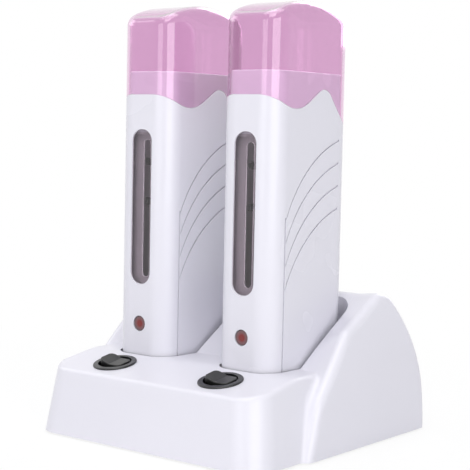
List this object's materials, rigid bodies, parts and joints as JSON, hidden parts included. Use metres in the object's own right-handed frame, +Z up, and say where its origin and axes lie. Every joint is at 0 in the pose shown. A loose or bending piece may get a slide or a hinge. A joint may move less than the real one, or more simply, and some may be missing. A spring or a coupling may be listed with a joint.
{
  "type": "roll-on wax heater",
  "caption": "Mains base whose pockets hold slim hand-held heaters for wax cartridges, with rocker switches in front and clear lift-off caps.",
  "frame": {"origin": "the middle of the base's footprint, on the ground under its rubber feet", "axes": "+Z up, +Y to the rear, +X to the right as seen from the front, where the switches are"},
  "size_m": [0.181, 0.1745, 0.2642],
  "materials": {
    "white_shell": "smooth glossy white moulding",
    "grey_plate": "fine matt",
    "foot_rubber": "soft matt",
    "screw_steel": "zinc plated",
    "inlet_black": "fine matt",
    "contact_nickel": "nickel plated",
    "switch_black": "smooth glossy",
    "terminal_brass": "bare",
    "insulator": "fine matt",
    "well_aluminium": "drawn",
    "element_aluminium": "matt",
    "thermostat_case": "fine matt",
    "window_clear": "clear, slightly smoky",
    "indicator_red": "translucent red",
    "lamp_glass": "clear with an orange tint",
    "cap_pink": "clear pink"
  },
  "bodies": {
    "base": {"base_shell": "white_shell", "base_plate": "grey_plate", "rubber_feet": "foot_rubber", "base_screws": "screw_steel", "power_inlet": "inlet_black", "inlet_pins": "contact_nickel", "left_switch_bezel": "switch_black", "left_switch_terminals": "terminal_brass", "left_dock_block": "insulator", "left_dock_pins": "contact_nickel", "right_switch_bezel": "switch_black", "right_switch_terminals": "terminal_brass", "right_dock_block": "insulator", "right_dock_pins": "contact_nickel"},
    "left_heater": {"left_heater_left_shell": "white_shell", "left_heater_right_shell": "white_shell", "left_heater_shell_screws": "screw_steel", "left_heater_collar": "white_shell", "left_heater_chamber": "well_aluminium", "left_heater_heating_plate": "element_aluminium", "left_heater_thermostat": "thermostat_case", "left_heater_window": "window_clear", "left_heater_indicator_lens": "indicator_red", "left_heater_indicator_lamp": "lamp_glass", "left_heater_contact_block": "insulator", "left_heater_contact_sleeves": "contact_nickel"},
    "left_cap": {"left_cap": "cap_pink"},
    "left_rocker": {"left_rocker": "switch_black"},
    "right_heater": {"right_heater_left_shell": "white_shell", "right_heater_right_shell": "white_shell", "right_heater_shell_screws": "screw_steel", "right_heater_collar": "white_shell", "right_heater_chamber": "well_aluminium", "right_heater_heating_plate": "element_aluminium", "right_heater_thermostat": "thermostat_case", "right_heater_window": "window_clear", "right_heater_indicator_lens": "indicator_red", "right_heater_indicator_lamp": "lamp_glass", "right_heater_contact_block": "insulator", "right_heater_contact_sleeves": "contact_nickel"},
    "right_cap": {"right_cap": "cap_pink"},
    "right_rocker": {"right_rocker": "switch_black"}
  },
  "joints": [
    {"name": "left_heater_lift", "type": "slide", "parent": "base", "child": "left_heater", "axis": [0, 0, 1], "range_m": [0, 0.06]},
    {"name": "left_cap_lift", "type": "slide", "parent": "left_heater", "child": "left_cap", "axis": [0, 0, 1], "range_m": [0, 0.034]},
    {"name": "left_rocker_tilt", "type": "hinge", "parent": "base", "child": "left_rocker", "pos_m": [-0.0412, -0.06246, 0.04293], "axis": [0, -0.9842, -0.1771], "range_deg": [0, 20]},
    {"name": "right_heater_lift", "type": "slide", "parent": "base", "child": "right_heater", "axis": [0, 0, 1], "range_m": [0, 0.06]},
    {"name": "right_cap_lift", "type": "slide", "parent": "right_heater", "child": "right_cap", "axis": [0, 0, 1], "range_m": [0, 0.034]},
    {"name": "right_rocker_tilt", "type": "hinge", "parent": "base", "child": "right_rocker", "pos_m": [0.0412, -0.06246, 0.04293], "axis": [0, -0.9842, -0.1771], "range_deg": [0, 20]}
  ]
}
